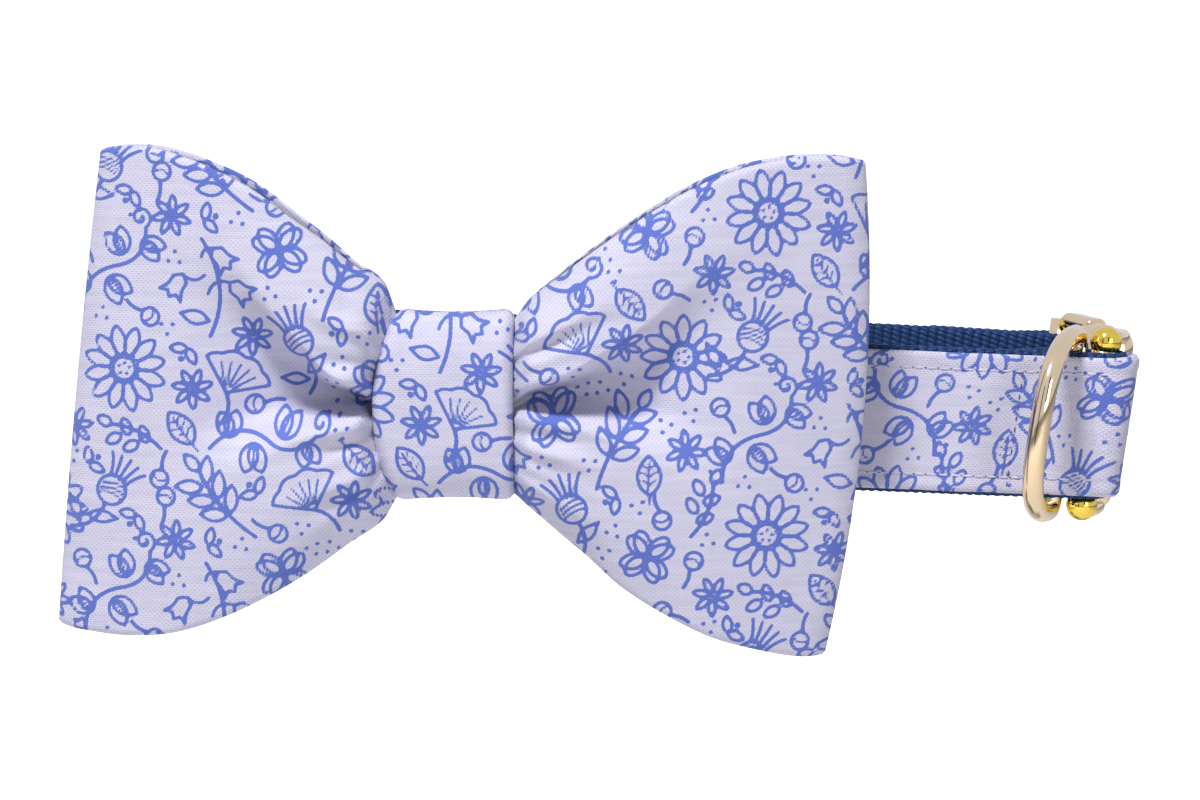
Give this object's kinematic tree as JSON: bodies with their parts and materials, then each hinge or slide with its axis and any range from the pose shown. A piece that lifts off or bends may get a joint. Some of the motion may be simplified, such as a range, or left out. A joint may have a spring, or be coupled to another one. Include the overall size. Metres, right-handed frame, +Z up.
{
  "type": "pet bow tie collar",
  "caption": "Pet collar with a printed cotton bow tie, a cotton-covered webbing strap, a cast leash ring and a side-release buckle.",
  "frame": {"origin": "centre of the neck opening, at mid height of the strap", "axes": "+X to the right along the strap, -Y towards whoever looks at the bow, +Z up along the neck"},
  "size_m": [0.1846, 0.0642, 0.0853],
  "materials": {
    "printed_cotton": "matte plain-weave cotton with a fine blue line print",
    "navy_webbing": "ribbed woven strap with a soft sheen",
    "elastic": "flat woven elastic",
    "pale_gold": "polished pale gold plating on cast metal"
  },
  "bodies": {
    "collar": {"bow_body": "printed_cotton", "knot_band": "printed_cotton", "keeper_loop": "elastic", "webbing": "navy_webbing", "strap_cover": "printed_cotton", "buckle_socket": "pale_gold", "buckle_plug": "pale_gold"},
    "ring": {"leash_ring": "pale_gold"}
  },
  "joints": [
    {"name": "ring_swing", "type": "hinge", "parent": "collar", "child": "ring", "pos_m": [0.0777, -0.0121, 0], "axis": [0.0872, 0, 0.9962], "range_deg": [-20, 32]}
  ]
}
